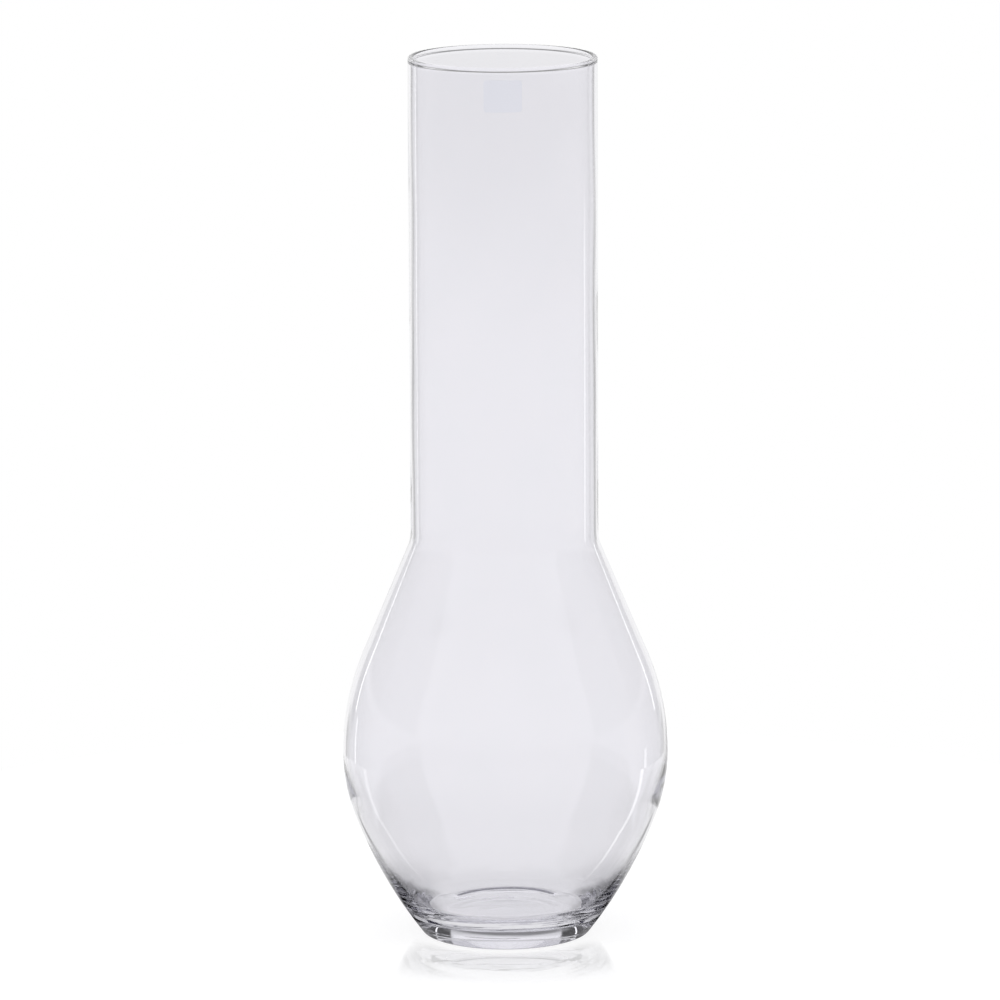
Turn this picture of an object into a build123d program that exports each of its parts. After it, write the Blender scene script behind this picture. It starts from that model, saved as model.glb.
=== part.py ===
"""A tall blown-glass flower vase: a straight neck over a round bulb on a heavy base, with a blank
film label on the neck. Millimetres. The origin is the centre of the foot, +Z runs up the axis of the
vase, and the label faces -Y."""

import os
from math import asin, cos, degrees, radians, sin, sqrt, tan

from build123d import *

os.makedirs("parts", exist_ok=True)

# Outside of the vessel
overall_height = 450.0
neck_diameter = 95.0
bulb_diameter = 165.5
equator_height = 94.0  # where the bulb is widest
flare_angle = 23.0  # lean of the cone between the neck and the bulb
shoulder_radius = 20.0  # hollow curve from the neck into the cone
crown_radius = 132.0  # full curve from the cone to the widest line
foot_diameter = 83.0  # outside of the ring that the vase stands on
flank_lean = 37.5  # lean of the wall where it reaches the foot
belly_share = 0.46  # run of the tight belly arc against the run of the flat flank arc
heel_radius = 2.0
foot_ring_width = 6.0
kick_depth = 0.3  # shallow hollow ground under the base

# Inside of the vessel
wall_thickness = 2.1
base_thickness = 11.8  # at the axis
floor_inset = 6.5  # from the edge of the foot in to the edge of the floor
floor_bowl_radius = 900.0  # the floor dishes slightly
floor_corner_radius = 24.0
inner_lean = 34.8  # lean of the inner wall where it turns into the floor
inner_share = 0.28

# Label
label_width = 19.0
label_height = 16.0
label_drop = 6.0  # from the rim down to the label's top edge
label_corner_radius = 1.5
film_thickness = 0.1
adhesive_thickness = 0.03

# Worked out from the sizes above
neck_radius = neck_diameter / 2
bore_radius = neck_radius - wall_thickness
bulb_radius = bulb_diameter / 2
foot_radius = foot_diameter / 2
floor_radius = foot_radius - floor_inset
floor_slope = asin(floor_radius / floor_bowl_radius)
lip_radius = wall_thickness / 2
flare = radians(flare_angle)
widening = bulb_radius - neck_radius
rounding_run = (shoulder_radius + crown_radius) * tan(flare / 2)
flare_run = widening / sin(flare) - rounding_run
shoulder_height = equator_height + widening / tan(flare) + rounding_run


def lean_start(edge, slope, corner_radius, lean):
    """The point where a wall that leans in starts to round over on to a floor that ends at edge, where
    it rises by slope."""
    turn = radians(lean)
    return edge + Vector(cos(turn) - sin(slope), cos(slope) - sin(turn)) * corner_radius


def bowl_joint(widest, low, lean, share):
    """The point where two tangent arcs meet: one leaves the widest point straight down, the other
    reaches the low point leaning in by lean, and share compares their tangent lengths."""
    down = Vector(0, -1)
    inward = Vector(-sin(radians(lean)), -cos(radians(lean)))
    chord = low - widest
    pull = down * share + inward
    square = pull.dot(pull) - (share + 1) ** 2
    half = chord.dot(pull)
    run = (half - sqrt(half**2 - square * chord.dot(chord))) / square
    upper_corner = widest + down * (share * run)
    lower_corner = low - inward * run
    return upper_corner + (lower_corner - upper_corner) * (share / (share + 1))


outer_widest = Vector(bulb_radius, equator_height)
inner_widest = Vector(bulb_radius - wall_thickness, equator_height)
floor_edge = Vector(floor_radius, base_thickness + floor_bowl_radius * (1 - cos(floor_slope)))
heel_start = lean_start(Vector(foot_radius, 0), 0, heel_radius, flank_lean)
floor_start = lean_start(floor_edge, floor_slope, floor_corner_radius, inner_lean)
outer_joint = bowl_joint(outer_widest, heel_start, flank_lean, belly_share)
inner_joint = bowl_joint(inner_widest, floor_start, inner_lean, inner_share)

# The vessel is one wall section turned about the axis: down the outside, across the foot, and back up
# the inside, where the wall is even from the rim to the widest line and swells into the heavy base.
with BuildPart() as glass_vessel:
    with BuildSketch(Plane.XZ):
        with BuildLine():
            neck = Line((neck_radius, overall_height - lip_radius), (neck_radius, shoulder_height))
            shoulder = JernArc(neck @ 1, neck % 1, shoulder_radius, flare_angle)
            cone = PolarLine(shoulder @ 1, flare_run, direction=shoulder % 1)
            crown = JernArc(cone @ 1, cone % 1, crown_radius, -flare_angle)
            belly = TangentArc(crown @ 1, outer_joint, tangent=crown % 1)
            flank = TangentArc(belly @ 1, heel_start, tangent=belly % 1)
            heel = JernArc(flank @ 1, flank % 1, heel_radius, flank_lean - 90)
            foot_ring = Line(heel @ 1, (foot_radius - foot_ring_width, 0))
            kick = TangentArc((0, kick_depth), foot_ring @ 1, tangent=(1, 0))
            axis_run = Line(kick @ 0, (0, base_thickness))
            floor = JernArc(axis_run @ 1, (1, 0), floor_bowl_radius, degrees(floor_slope))
            floor_corner = JernArc(
                floor @ 1, floor % 1, floor_corner_radius, 90 - inner_lean - degrees(floor_slope)
            )
            inner_flank = TangentArc(floor_corner @ 1, inner_joint, tangent=floor_corner % 1)
            inner_belly = TangentArc(inner_flank @ 1, inner_widest, tangent=inner_flank % 1)
            inner_crown = JernArc(inner_belly @ 1, (0, 1), crown_radius - wall_thickness, flare_angle)
            inner_cone = PolarLine(inner_crown @ 1, flare_run, direction=inner_crown % 1)
            inner_shoulder = JernArc(
                inner_cone @ 1, inner_cone % 1, shoulder_radius + wall_thickness, -flare_angle
            )
            inner_neck = Line(inner_shoulder @ 1, (bore_radius, overall_height - lip_radius))
            lip = ThreePointArc(inner_neck @ 1, (neck_radius - lip_radius, overall_height), neck @ 0)
        make_face()
    revolve(axis=Axis.Z)

# The label is a patch of clear film cut from a thin sleeve that sits on the neck's adhesive layer.
film_inside = neck_radius + adhesive_thickness
film_outside = film_inside + film_thickness
label_middle = overall_height - label_drop - label_height / 2
with BuildPart() as film_label:
    with BuildSketch(Plane.XY.offset(label_middle - label_height / 2)):
        Circle(film_outside)
        Circle(film_inside, mode=Mode.SUBTRACT)
    extrude(amount=label_height)
    with BuildSketch(Plane.XZ):
        with Locations((0, label_middle)):
            RectangleRounded(label_width, label_height, label_corner_radius)
    extrude(amount=film_outside, mode=Mode.INTERSECT)

glass_vessel.part.label = "glass_vessel"
export_step(glass_vessel.part, "parts/glass_vessel.step")
film_label.part.label = "film_label"
export_step(film_label.part, "parts/film_label.step")
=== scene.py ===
"""A tall clear blown-glass flower vase with a blank film label on its neck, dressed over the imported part.
The origin is the centre of the foot, +Z is up and the label faces -Y. Sizes are in millimetres, and MM turns
them to Blender's metres."""

from math import acos, asin, atan2, cos, degrees, pi, radians, sin, sqrt, tan

import bpy
import numpy as np
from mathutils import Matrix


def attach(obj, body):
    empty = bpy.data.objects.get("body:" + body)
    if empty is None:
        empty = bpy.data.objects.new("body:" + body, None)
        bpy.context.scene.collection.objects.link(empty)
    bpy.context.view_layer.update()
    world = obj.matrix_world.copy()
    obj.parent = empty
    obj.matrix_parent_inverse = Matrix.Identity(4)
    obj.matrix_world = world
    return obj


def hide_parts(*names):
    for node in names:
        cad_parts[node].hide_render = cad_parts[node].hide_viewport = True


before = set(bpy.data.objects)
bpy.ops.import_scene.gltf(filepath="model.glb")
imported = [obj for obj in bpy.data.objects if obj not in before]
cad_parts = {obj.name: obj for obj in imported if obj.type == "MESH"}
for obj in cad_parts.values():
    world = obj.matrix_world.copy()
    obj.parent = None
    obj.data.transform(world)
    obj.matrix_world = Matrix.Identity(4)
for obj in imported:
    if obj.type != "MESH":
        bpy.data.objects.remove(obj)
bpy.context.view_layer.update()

# Blown glass vessel
# The whole vase is one gather of clear soda-lime glass, blown and turned, with a long straight neck, a
# round bulb and a heavy base. Its lip was melted round in the fire and its foot was ground level.
MM = 0.001
overall_height = 450.0
neck_radius = 47.5
bulb_radius = 82.75
equator_height = 94.0  # where the bulb is widest
flare_angle = 23.0  # lean of the cone between the neck and the bulb
shoulder_radius = 20.0
crown_radius = 132.0
foot_radius = 41.5
flank_lean = 37.5  # lean of the wall where it reaches the foot
belly_share = 0.46  # run of the tight belly arc against the run of the flat flank arc
heel_radius = 2.0
foot_ring_width = 6.0
kick_depth = 0.3  # shallow hollow ground under the base
wall_thickness = 2.1
base_thickness = 11.8  # at the axis
floor_inset = 6.5  # from the edge of the foot in to the edge of the floor
floor_bowl_radius = 900.0  # the floor dishes slightly
floor_corner_radius = 24.0
inner_lean = 34.8
inner_share = 0.28
bead_radius = 1.35  # the melted lip swells inwards a little past the wall
bead_hollow = 2.0  # radius of the curve from the wall into the bead

widening = bulb_radius - neck_radius
rounding_run = (shoulder_radius + crown_radius) * tan(radians(flare_angle / 2))
flare_run = widening / sin(radians(flare_angle)) - rounding_run
shoulder_height = equator_height + widening / tan(radians(flare_angle)) + rounding_run
bead_height = overall_height - bead_radius
bead_reach = bead_radius + bead_hollow
bead_turn = degrees(acos((bead_hollow + wall_thickness - bead_radius) / bead_reach))
bead_start = bead_height - bead_reach * sin(radians(bead_turn))
ring_radius = foot_radius - foot_ring_width
kick_radius = (ring_radius**2 + kick_depth**2) / (2 * kick_depth)
kick_slope = degrees(asin(ring_radius / kick_radius))
floor_radius = foot_radius - floor_inset
floor_slope = degrees(asin(floor_radius / floor_bowl_radius))
floor_edge_height = base_thickness + floor_bowl_radius * (1 - cos(radians(floor_slope)))


def round_over(edge_radius, edge_height, slope, corner_radius, lean):
    """The point where a wall leaning in by lean starts to round over on to a floor that rises by slope."""
    out = cos(radians(lean)) - sin(radians(slope))
    up = cos(radians(slope)) - sin(radians(lean))
    return edge_radius + corner_radius * out, edge_height + corner_radius * up


def bowl_arcs(widest, low, lean, share):
    """Two tangent arcs from the widest point, straight down, to the low point, leaning in: the turn and
    radius of the belly and then of the flank."""
    inward = (-sin(radians(lean)), -cos(radians(lean)))
    chord = (low[0] - widest[0], low[1] - widest[1])
    pull = (inward[0], inward[1] - share)
    square = pull[0] ** 2 + pull[1] ** 2 - (share + 1) ** 2
    half = chord[0] * pull[0] + chord[1] * pull[1]
    run = (half - sqrt(half**2 - square * (chord[0] ** 2 + chord[1] ** 2))) / square
    across = widest[0] - (low[0] - inward[0] * run)
    down = widest[1] - share * run - (low[1] - inward[1] * run)
    belly_turn = degrees(atan2(across, down))
    flank_turn = lean - belly_turn
    belly_arc = share * run / tan(radians(belly_turn / 2))
    flank_arc = run / tan(radians(flank_turn / 2))
    return belly_turn, belly_arc, flank_turn, flank_arc


# The wall section is drawn as the turner's template runs: straight runs and arcs, each carrying on where
# the last one ended, as radius, height and heading. Each is cut into the pieces that its curve needs.
template = [(neck_radius, bead_height, -90.0)]
lip_run = 1.0  # short pieces at both ends of the neck keep its shading straight
shoulder_run = 2.0
floor_cuts = ((0.23, 6), (0.55, 42), (0.14, 8), (0.08, 12))  # shares of the floor, finest under its marks


def straight(length, pieces):
    """Carries the template on by a straight run."""
    radius, height, heading = template[-1]
    along, rise = cos(radians(heading)), sin(radians(heading))
    for i in range(1, pieces + 1):
        step = length * i / pieces
        template.append((radius + step * along, height + step * rise, heading))


def arc(arc_radius, turn, pieces):
    """Carries the template on by an arc that turns by so many degrees, to the left if they are positive."""
    radius, height, heading = template[-1]
    reach = arc_radius if turn > 0 else -arc_radius
    centre_radius = radius - reach * sin(radians(heading))
    centre_height = height + reach * cos(radians(heading))
    for i in range(1, pieces + 1):
        way = heading + turn * i / pieces
        template.append(
            (centre_radius + reach * sin(radians(way)), centre_height - reach * cos(radians(way)), way)
        )


heel_start = round_over(foot_radius, 0, 0, heel_radius, flank_lean)
belly_turn, belly_arc, flank_turn, flank_arc = bowl_arcs(
    (bulb_radius, equator_height), heel_start, flank_lean, belly_share
)
straight(lip_run, pieces=2)
straight(bead_height - shoulder_height - lip_run - shoulder_run, pieces=6)
straight(shoulder_run, pieces=1)
arc(shoulder_radius, flare_angle, pieces=10)
straight(flare_run, pieces=10)
arc(crown_radius, -flare_angle, pieces=24)
arc(belly_arc, -belly_turn, pieces=20)
arc(flank_arc, -flank_turn, pieces=40)
arc(heel_radius, flank_lean - 90, pieces=10)
straight(template[-1][0] - ring_radius, pieces=3)
template[-1] = (ring_radius, 0.0, 180 - kick_slope)
arc(kick_radius, kick_slope, pieces=10)
under_middle = len(template) - 1
template.append((0.0, base_thickness, 0.0))
floor_start = round_over(floor_radius, floor_edge_height, floor_slope, floor_corner_radius, inner_lean)
belly_turn, belly_arc, flank_turn, flank_arc = bowl_arcs(
    (bulb_radius - wall_thickness, equator_height), floor_start, inner_lean, inner_share
)
for floor_share, pieces in floor_cuts:
    arc(floor_bowl_radius, floor_share * floor_slope, pieces)
arc(floor_corner_radius, 90 - inner_lean - floor_slope, pieces=44)
arc(flank_arc, flank_turn, pieces=44)
arc(belly_arc, belly_turn, pieces=20)
arc(crown_radius - wall_thickness, flare_angle, pieces=22)
straight(flare_run, pieces=10)
arc(shoulder_radius + wall_thickness, -flare_angle, pieces=10)
straight(shoulder_run, pieces=1)
straight(bead_start - shoulder_height - shoulder_run - lip_run, pieces=22)
straight(lip_run, pieces=1)
arc(bead_hollow, bead_turn, pieces=6)
arc(bead_radius, -180 - bead_turn, pieces=18)
template.pop()  # the bead ends on the first point again

# Blowing leaves slow waves inside the wall: the share of each, how often it goes round, the rise that shifts
# it by a radian, and its start. They die out towards the lip and the middle of the floor.
sides_round = 236
wave_height = 0.05
slow_waves = ((1.0, 2, 31, 0.4), (0.7, 3, -19, 2.1), (0.5, 5, 13, 4.0))
lip_calm = 12.0
middle_calm = 40.0
template = np.array(template)
radius, height, heading = template[:, 0], template[:, 1], np.radians(template[:, 2])
inside = (np.arange(len(template)) > under_middle)[:, None]
bearing, level = np.meshgrid(np.arange(sides_round) * 2 * pi / sides_round, height)
from_axis = np.repeat(radius[:, None], sides_round, 1)
waves = np.zeros_like(from_axis)
for share, rounds, shift, start in slow_waves:
    waves += wave_height * share * np.sin(rounds * bearing + level / shift + start)
lip_hold = np.clip((overall_height - level) / lip_calm, 0, 1)
middle_hold = np.clip(from_axis / middle_calm, 0, 1)

# Streaks run round the corner of the floor, where the tools pressed the glass. There are two sets: the pitch
# of each, how far, how often and from where it weaves, and how it comes and goes. Faint ribs cross them.
streak_height = 0.034
streak_radius = 45.0
streak_spread = 6.0
streak_top = 45.0
streak_sets = ((0.55, 2.0, 2, 0.6, 5, 3.0, 0.0), (0.8, 1.6, 3, 2.0, 7, -2.0, 1.0))
rib_share = 0.4
rib_count = 23
rib_slant = 1.4
wall_run = np.concatenate(([0], np.cumsum(np.hypot(np.diff(radius), np.diff(height)))))[:, None]
streaks = rib_share * np.sin(rib_count * bearing + wall_run / rib_slant)
for pitch, weave, weaves, weave_start, fades, fade_shift, fade_start in streak_sets:
    line = np.sin(wall_run / pitch + weave * np.sin(weaves * bearing + weave_start))
    streaks += line * (1 + np.sin(fades * bearing + wall_run / fade_shift + fade_start))
corner = np.exp(-(((from_axis - streak_radius) / streak_spread) ** 2)) * (level < streak_top)
streaks *= streak_height * corner

# Turning the gather against the block left rings and strokes on the floor: the radius of each ring, and the
# two ends of each stroke, across and back from the middle. The rings show only behind the middle.
mark_height = 0.3
mark_width = 1.2
ring_marks = (27.0, 33.5)
ring_fade_start = 0.2  # as the sine of the bearing
ring_fade_run = 0.4
stroke_marks = ((-25, 7, -18, 11), (-11, 6, 0, 11), (2, 9, 2.5, 9))
floor_x = from_axis * np.cos(bearing)
floor_y = from_axis * np.sin(bearing)
behind = np.clip((np.sin(bearing) - ring_fade_start) / ring_fade_run, 0, 1)
marks = np.zeros_like(from_axis)
for mark_radius in ring_marks:
    marks += behind * np.exp(-(((from_axis - mark_radius) / mark_width) ** 2))
for x1, y1, x2, y2 in stroke_marks:
    run_x = x2 - x1
    run_y = y2 - y1
    nearest = ((floor_x - x1) * run_x + (floor_y - y1) * run_y) / (run_x**2 + run_y**2)
    nearest = np.clip(nearest, 0, 1)
    off = np.hypot(floor_x - x1 - nearest * run_x, floor_y - y1 - nearest * run_y)
    marks += np.exp(-((off / mark_width) ** 2))
marks *= mark_height * (level < floor_edge_height + 1)

push = (waves * middle_hold + streaks + marks) * lip_hold * inside
skin_radius = from_axis + push * np.sin(heading)[:, None]
skin_height = level - push * np.cos(heading)[:, None]
skin = np.stack((skin_radius * np.cos(bearing), skin_radius * np.sin(bearing), skin_height), -1)

# The skin is a net of four-sided faces, closed by a fan at the middle of the foot and of the floor.
ring_count = len(template)
middles = (under_middle, under_middle + 1)
open_rings = [ring for ring in range(ring_count) if ring not in middles]
ring_start = {ring: order * sides_round for order, ring in enumerate(open_rings)}
glass_points = np.concatenate((skin[open_rings].reshape(-1, 3), skin[list(middles), 0])) * MM
foot_point = len(glass_points) - 2
floor_point = len(glass_points) - 1
glass_faces = []
for ring in range(ring_count):
    if ring == under_middle:
        continue
    after = (ring + 1) % ring_count
    for j in range(sides_round):
        k = (j + 1) % sides_round
        if after == under_middle:
            glass_faces.append((ring_start[ring] + j, foot_point, ring_start[ring] + k))
        elif ring == under_middle + 1:
            glass_faces.append((floor_point, ring_start[after] + j, ring_start[after] + k))
        else:
            this, then = ring_start[ring], ring_start[after]
            glass_faces.append((this + j, then + j, then + k, this + k))
glass_mesh = bpy.data.meshes.new("blown_glass_vessel")
glass_mesh.from_pydata(glass_points.tolist(), [], glass_faces)
for face in glass_mesh.polygons:
    face.use_smooth = True
vessel = bpy.data.objects.new("blown_glass_vessel", glass_mesh)
bpy.context.scene.collection.objects.link(vessel)


def linear(code):
    """An sRGB hex colour as linear RGBA."""
    parts = [int(code[i : i + 2], 16) / 255 for i in (1, 3, 5)]
    return [p / 12.92 if p <= 0.04045 else ((p + 0.055) / 1.055) ** 2.4 for p in parts] + [1.0]


def node(tree, kind, settings, sockets):
    """Adds a node with its settings. A socket, by name or number, takes a value, or a link from an output or
    from a node's first output."""
    made = tree.nodes.new(kind)
    for name, value in settings.items():
        setattr(made, name, value)
    for socket, value in sockets.items():
        if isinstance(value, bpy.types.Node):
            value = value.outputs[0]
        if isinstance(value, bpy.types.NodeSocket):
            tree.links.new(value, made.inputs[socket])
        else:
            made.inputs[socket].default_value = value
    return made


# Clear soda-lime glass, fire-polished: no grain at all, only bent light. The cords of a hand gather, about
# 25 mm wide, shift its clearness by a shade, and its depth greys the longest paths in the base.
clear_glass = bpy.data.materials.new("clear soda-lime glass")
clear_glass.use_nodes = True
tree = clear_glass.node_tree
tree.nodes.clear()
place = node(tree, "ShaderNodeTexCoord", {}, {})
cords = node(
    tree,
    "ShaderNodeTexNoise",
    {},
    {"Vector": place.outputs["Object"], "Scale": 1 / (25 * MM), "Detail": 2.0},
)
shade = node(
    tree,
    "ShaderNodeMix",
    {"data_type": "RGBA"},
    {0: cords, 6: linear("#F8F7FA"), 7: linear("#F6F6F9")},
)
surface = node(
    tree,
    "ShaderNodeBsdfPrincipled",
    {},
    {"Base Color": shade.outputs[2], "Roughness": 0.0, "IOR": 1.5, "Transmission Weight": 1.0},
)
depth = node(tree, "ShaderNodeVolumeAbsorption", {}, {"Color": linear("#B9B8C4"), "Density": 6.0})
node(tree, "ShaderNodeOutputMaterial", {}, {"Surface": surface, "Volume": depth})
glass_mesh.materials.append(clear_glass)
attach(vessel, "root")
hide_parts("glass_vessel")

# Film label
# A blank rectangle of clear plastic film with rounded corners, stuck to the front of the neck just under
# the lip. Its adhesive wets the glass, so it hardly shows.
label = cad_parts["film_label"]
clear_film = bpy.data.materials.new("clear polypropylene film")
clear_film.use_nodes = True
tree = clear_film.node_tree
tree.nodes.clear()
# Cast film on adhesive: glossy and faintly cool. The adhesive is mottled at about 3 mm.
place = node(tree, "ShaderNodeTexCoord", {}, {})
mottle = node(
    tree,
    "ShaderNodeTexNoise",
    {},
    {"Vector": place.outputs["Object"], "Scale": 1 / (3 * MM), "Detail": 3.0},
)
shade = node(
    tree,
    "ShaderNodeMix",
    {"data_type": "RGBA"},
    {0: mottle, 6: linear("#FBFCFF"), 7: linear("#F8FAFD")},
)
surface = node(
    tree,
    "ShaderNodeBsdfPrincipled",
    {},
    {"Base Color": shade.outputs[2], "Roughness": 0.04, "IOR": 1.3, "Transmission Weight": 1.0},
)
node(tree, "ShaderNodeOutputMaterial", {}, {"Surface": surface})
label.data.materials.clear()
label.data.materials.append(clear_film)

# Table
# A round shooting table of polished opal acrylic, lit from below. The camera sees it white, with a faint
# mirror image before the foot. Light that comes by way of the glass sees its glow with painted shade near the
# foot, and painted reflections of the strip lights and dark cards.
table_radius = 450.0
table_drop = 0.2  # below the foot, so that the two don't touch
table_sides = 96
table_edge = []
for side in range(table_sides):
    angle = side * 2 * pi / table_sides
    table_edge.append((table_radius * cos(angle) * MM, table_radius * sin(angle) * MM, -table_drop * MM))
table_mesh = bpy.data.meshes.new("table")
table_mesh.from_pydata(table_edge, [], [list(range(table_sides))])
table = bpy.data.objects.new("table", table_mesh)
bpy.context.scene.collection.objects.link(table)


def bearing_to(tree, right, back):
    """The bearing of a point, in degrees to the right of straight behind."""
    angle = node(tree, "ShaderNodeMath", {"operation": "ARCTAN2"}, {0: right, 1: back})
    return node(tree, "ShaderNodeMath", {"operation": "DEGREES"}, {0: angle})


def soft_patch(tree, *ramps):
    """A patch of light or shade with soft edges, as the product of ramps. Each ramp is what it goes by, where
    it starts and ends, and its strength at the start and at the end."""
    patch = None
    for measure, start, end, first, last in ramps:
        ramp = node(
            tree,
            "ShaderNodeMapRange",
            {"interpolation_type": "SMOOTHSTEP"},
            {"Value": measure, "From Min": start, "From Max": end, "To Min": first, "To Max": last},
        )
        if patch is None:
            patch = ramp
        else:
            patch = node(tree, "ShaderNodeMath", {"operation": "MULTIPLY"}, {0: patch, 1: ramp})
    return patch


opal_acrylic = bpy.data.materials.new("opal white acrylic sheet")
opal_acrylic.use_nodes = True
tree = opal_acrylic.node_tree
tree.nodes.clear()
# Opal acrylic: even and milky, with a clouding of about 60 mm, glowing with the light below it.
place = node(tree, "ShaderNodeTexCoord", {}, {})
cloud = node(
    tree,
    "ShaderNodeTexNoise",
    {},
    {"Vector": place.outputs["Object"], "Scale": 1 / (60 * MM), "Detail": 2.0},
)
milk = node(
    tree,
    "ShaderNodeMix",
    {"data_type": "RGBA"},
    {0: cloud, 6: linear("#7C7C7E"), 7: linear("#78787A")},
)

# Places on the table, in millimetres to the right and back from under the vase, and degrees from straight
# behind it. A ray's path says whether it was mirrored, and how often it has crossed a face of the glass.
spot = node(
    tree,
    "ShaderNodeVectorMath",
    {"operation": "SCALE"},
    {0: place.outputs["Object"], "Scale": 1 / MM},
)
from_middle = node(tree, "ShaderNodeVectorMath", {"operation": "LENGTH"}, {0: spot}).outputs["Value"]
axes = node(tree, "ShaderNodeSeparateXYZ", {}, {0: spot})
right = axes.outputs["X"]
back = axes.outputs["Y"]
wide = node(tree, "ShaderNodeMath", {"operation": "ABSOLUTE"}, {0: right})
away = node(tree, "ShaderNodeMath", {"operation": "ABSOLUTE"}, {0: bearing_to(tree, right, back)})
path = node(tree, "ShaderNodeLightPath", {}, {})
mirrored_ray = path.outputs["Is Reflection Ray"]
crossings = path.outputs["Transmission Depth"]
in_mirror = (mirrored_ray, 0, 1, 0, 1)
through_base = (crossings, 2, 3, 1, 0)  # at most once into the glass and out again

# Painted shadow of the vase on the table's glow all round the foot. Less of it is painted for rays that
# crossed the glass at most once, as through the heavy base.
near_shade = soft_patch(tree, (from_middle, 40, 120, 0.1, 0))
wide_shade = soft_patch(tree, (from_middle, 40, 450, 0.06, 0))
painted_foot_shadow = node(tree, "ShaderNodeMath", {"operation": "ADD"}, {0: near_shade, 1: wide_shade})
shade_eased_in_base = soft_patch(tree, (crossings, 2, 3, 0.1, 0))
painted_foot_shadow = node(tree, "ShaderNodeMath", {"operation": "SUBTRACT"}, {0: painted_foot_shadow, 1: shade_eased_in_base})

# Painted shade darkens the glow on both sides of the foot, further forward for rays through the base, under
# the foot for mirrored rays, and in two broad sectors behind, to either side.
foot_zone = ((from_middle, 36, 52, 0, 1), (from_middle, 72, 122, 1, 0))
painted_shade_beside_foot = soft_patch(tree, *foot_zone, (away, 40, 60, 0, 0.66), (away, 60, 95, 1, 0))
painted_shade_before_foot = soft_patch(tree, *foot_zone, (away, 56, 72, 0, 0.96), (away, 122, 138, 1, 0), through_base)
painted_shade_under_foot = soft_patch(tree, (from_middle, 50, 130, 0.7, 0), in_mirror)
painted_shade_behind_sides = soft_patch(tree, (away, 14, 45, 0, 0.1), (away, 60, 85, 1, 0), (from_middle, 220, 420, 1, 0))

# Painted reflections of the dark cards, for mirrored rays and rays through the base: dark lines along two
# lines that spread towards the back.
card_start = 77.5  # to each side, level with the middle of the vase
card_spread = 0.45
card_lean = node(tree, "ShaderNodeMath", {"operation": "MULTIPLY"}, {0: back, 1: card_spread})
card_off = node(tree, "ShaderNodeMath", {"operation": "SUBTRACT"}, {0: wide, 1: card_lean})
card_off = node(tree, "ShaderNodeMath", {"operation": "SUBTRACT"}, {0: card_off, 1: card_start})
card_off = node(tree, "ShaderNodeMath", {"operation": "ABSOLUTE"}, {0: card_off})
card_seen = node(
    tree,
    "ShaderNodeMath",
    {"operation": "MAXIMUM"},
    {0: mirrored_ray, 1: soft_patch(tree, through_base)},
)
painted_card_reflections = soft_patch(
    tree,
    (card_off, 4, 13, 0.6, 0),
    (back, 20, 50, 0, 1),
    (back, 100, 200, 1, 0.3),
    (card_seen, 0, 1, 0, 1),
)

# Painted reflections of the strip lights, for mirrored rays: bright lines that fan out from a point on each
# side of the foot. The right one is brighter and lies further round.
strip_right = 62.5
strip_front = 52.0
left_strip_bearing = 60.5
right_strip_bearing = 66.0
left_strip_strength = 0.9
right_strip_strength = 2.2
strip_x = node(tree, "ShaderNodeMath", {"operation": "SUBTRACT"}, {0: wide, 1: strip_right})
strip_y = node(tree, "ShaderNodeMath", {"operation": "ADD"}, {0: back, 1: strip_front})
strip_bearing = soft_patch(tree, (right, -10, 10, left_strip_bearing, right_strip_bearing))
strip_off = node(
    tree,
    "ShaderNodeMath",
    {"operation": "SUBTRACT"},
    {0: bearing_to(tree, strip_x, strip_y), 1: strip_bearing},
)
strip_off = node(tree, "ShaderNodeMath", {"operation": "ABSOLUTE"}, {0: strip_off})
painted_strip_reflections = soft_patch(
    tree,
    (strip_off, 0.8, 3.2, 1, 0),
    (from_middle, 75, 130, 0.4, 1),
    (right, -10, 10, left_strip_strength, right_strip_strength),
    in_mirror,
)

# The glow that rays by way of the glass see: the deepest painted shade is taken off it and the painted strip
# reflections are added.
table_glow = 0.968
deepest_painted_shade = painted_foot_shadow
for patch in (painted_shade_beside_foot, painted_shade_before_foot, painted_shade_under_foot, painted_shade_behind_sides, painted_card_reflections):
    deepest_painted_shade = node(tree, "ShaderNodeMath", {"operation": "MAXIMUM"}, {0: deepest_painted_shade, 1: patch})
glow_with_painted_light = node(tree, "ShaderNodeMath", {"operation": "SUBTRACT"}, {0: table_glow, 1: deepest_painted_shade})
glow_with_painted_light = node(tree, "ShaderNodeMath", {"operation": "ADD"}, {0: glow_with_painted_light, 1: painted_strip_reflections})
painted_glow = node(tree, "ShaderNodeEmission", {}, {"Color": linear("#FFFFFF"), "Strength": glow_with_painted_light})

# To the camera it is matt and glows white, and it is polished just before the foot.
white_glow = 0.85
camera_glow = node(
    tree,
    "ShaderNodeMath",
    {"operation": "MULTIPLY"},
    {0: path.outputs["Is Camera Ray"], 1: white_glow},
)
matt = node(tree, "ShaderNodeBsdfDiffuse", {}, {"Color": milk.outputs[2]})
glow = node(tree, "ShaderNodeEmission", {}, {"Color": linear("#FFFFFF"), "Strength": camera_glow})
body = node(tree, "ShaderNodeAddShader", {}, {0: matt, 1: glow})
sheen = node(tree, "ShaderNodeBsdfGlossy", {}, {"Color": linear("#FFFFFF"), "Roughness": 0.008})
polish = soft_patch(tree, (from_middle, 44, 56, 0, 0.4), (from_middle, 60, 125, 1, 0), (away, 105, 160, 0, 1))
plain = node(tree, "ShaderNodeMixShader", {}, {0: polish, 1: body, 2: sheen})
# Rays by way of the glass see the glow with painted shade and painted reflections; the camera sees the plain
# table.
by_glass = node(
    tree,
    "ShaderNodeMath",
    {"operation": "MAXIMUM"},
    {0: path.outputs["Is Transmission Ray"], 1: path.outputs["Is Glossy Ray"]},
)
surface = node(tree, "ShaderNodeMixShader", {}, {0: by_glass, 1: plain, 2: painted_glow})
node(tree, "ShaderNodeOutputMaterial", {}, {"Surface": surface})
table_mesh.materials.append(opal_acrylic)

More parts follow.
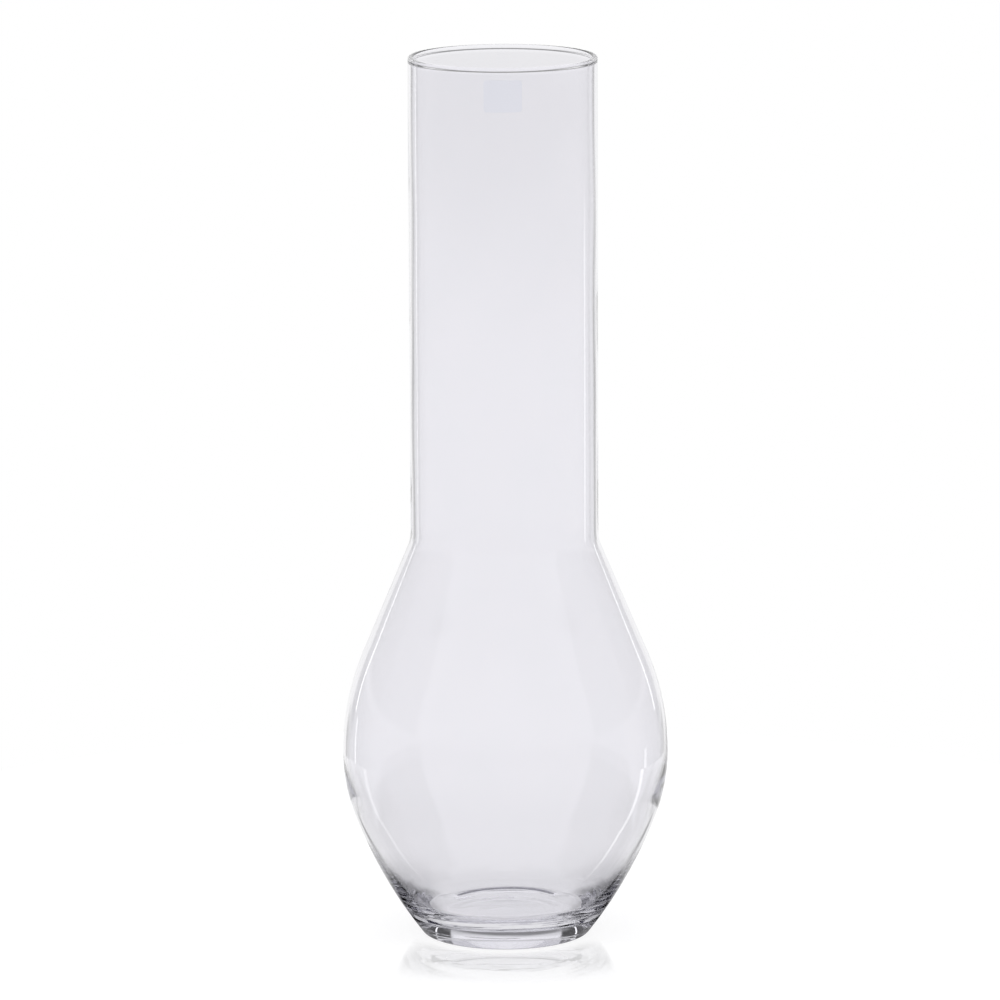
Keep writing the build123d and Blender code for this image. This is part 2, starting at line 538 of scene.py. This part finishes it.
# Studio light
# A white tent of soft light, with dark cards beside the backdrop that draw the edges of the glass, and
# narrow lights that leave white lines on it. The camera itself sees plain white.
room = bpy.data.worlds.new("studio")
bpy.context.scene.world = room
room.use_nodes = True
tree = room.node_tree
tree.nodes.clear()
place = node(tree, "ShaderNodeTexCoord", {}, {})
axes = node(tree, "ShaderNodeSeparateXYZ", {}, {0: place.outputs["Generated"]})
rise = node(tree, "ShaderNodeMath", {"operation": "ARCSINE"}, {0: axes.outputs["Z"]})
rise = node(tree, "ShaderNodeMath", {"operation": "DEGREES"}, {0: rise})
aside = bearing_to(tree, axes.outputs["X"], axes.outputs["Y"])
away = node(tree, "ShaderNodeMath", {"operation": "ABSOLUTE"}, {0: aside})


def hang(light, direction, patches):
    """Hangs cards or lamps in the tent. Each is its middle bearing, half width, lowest and highest elevation,
    brightness, and how soft its edges are. Degrees."""
    for middle, half_width, lowest, highest, brightness, soft in patches:
        off = node(tree, "ShaderNodeMath", {"operation": "SUBTRACT"}, {0: direction, 1: middle})
        off = node(tree, "ShaderNodeMath", {"operation": "ABSOLUTE"}, {0: off})
        patch = soft_patch(
            tree,
            (off, half_width - soft, half_width + soft, 1, 0),
            (rise, lowest - soft, lowest + soft, 0, 1),
            (rise, highest - soft, highest + soft, 1, 0),
        )
        light = node(tree, "ShaderNodeMix", {}, {0: patch, 2: light, 3: brightness})
    return light


# What hangs on both sides alike is given once, by its bearing away from straight behind.
dark_cards = [
    (31.5, 4.5, -5, 14, 0.45, 1.0),
    (31.5, 4.5, -8.8, -5, 0.3, 2.0),
    (27, 6, -35, -8.8, 0.42, 1.5),
    (53, 19, 3, 52, 0.06, 1.5),
    (92, 20, 3, 52, 0.25, 1.5),
    (0, 30, 4.5, 12.5, 0.3, 1.5),
    (31.5, 4.5, 13, 18, 0.06, 1.0),
]
soft_boxes = [
    (0, 26, 15, 60, 1.22, 1.5),
    (39, 0.8, 14, 44, 2.0, 0.3),
]
strip_lights = [
    (-46.5, 1.2, -35, -5, 1.9, 0.5),
    (62.5, 1.6, -35, -8.8, 2.2, 0.5),
    (-41, 0.8, -5, 16, 3.2, 0.3),
    (41, 0.8, -5, 16, 3.2, 0.3),
]
foot_of_tent = soft_patch(tree, (rise, -10.5, -7.2, 0, 0.11), (rise, -8.0, -6.2, 1, 0), (away, 6, 14, 1, 0))
tent = soft_patch(tree, (rise, -8, -3, 0.967, 0.95))
tent = node(tree, "ShaderNodeMath", {"operation": "SUBTRACT"}, {0: tent, 1: foot_of_tent})
seen_through = hang(hang(tent, away, dark_cards), away, soft_boxes)

# In reflections the tent's sides are darker, its top is brighter, and the strip lights show.
top_light = 1.2
sides = soft_patch(tree, (away, 30, 42, 0, 0.5), (away, 52, 80, 1, 0))
sides_left = node(tree, "ShaderNodeMath", {"operation": "SUBTRACT"}, {0: 1.0, 1: sides})
mirrored = node(tree, "ShaderNodeMath", {"operation": "MULTIPLY"}, {0: tent, 1: sides_left})
overhead = soft_patch(tree, (rise, 0, 5, 0, 1))
mirrored = node(tree, "ShaderNodeMix", {}, {0: overhead, 2: mirrored, 3: top_light})
mirrored = hang(mirrored, aside, strip_lights)
path = node(tree, "ShaderNodeLightPath", {}, {})
light = node(
    tree,
    "ShaderNodeMix",
    {},
    {0: path.outputs["Is Reflection Ray"], 2: seen_through, 3: mirrored},
)
glow = node(tree, "ShaderNodeBackground", {}, {"Color": linear("#FFFFFF"), "Strength": light})
white = node(tree, "ShaderNodeBackground", {}, {"Color": linear("#FFFFFF"), "Strength": 1.0})
seen = node(tree, "ShaderNodeMixShader", {}, {0: path.outputs["Is Camera Ray"], 1: glow, 2: white})
node(tree, "ShaderNodeOutputWorld", {}, {"Surface": seen})

# Camera
# A long lens a little above the vase, looking down by some 11 degrees, held a quarter of a degree off level.
# Its focal length and its shift are in pixels of the picture.
picture_side = 1000
focal_length = 6644.83
picture_shift = -4.41
camera_distance = 3297.7
camera_height = 880.6
look_down = 11.264
off_level = -0.2365
light_bounces = 128  # the heavy base hands the light on many times
lens = bpy.data.cameras.new("camera")
lens.sensor_width = 36.0
lens.lens = focal_length / picture_side * lens.sensor_width
lens.shift_x = picture_shift / picture_side
camera = bpy.data.objects.new("camera", lens)
camera.location = (0, -camera_distance * MM, camera_height * MM)
camera.rotation_mode = "ZYX"
camera.rotation_euler = (radians(90 - look_down), 0, radians(off_level))
bpy.context.scene.collection.objects.link(camera)
bpy.context.scene.camera = camera
bpy.context.scene.view_settings.view_transform = "Standard"
bpy.context.scene.cycles.max_bounces = light_bounces
bpy.context.scene.cycles.transmission_bounces = light_bounces
bpy.context.scene.cycles.glossy_bounces = light_bounces
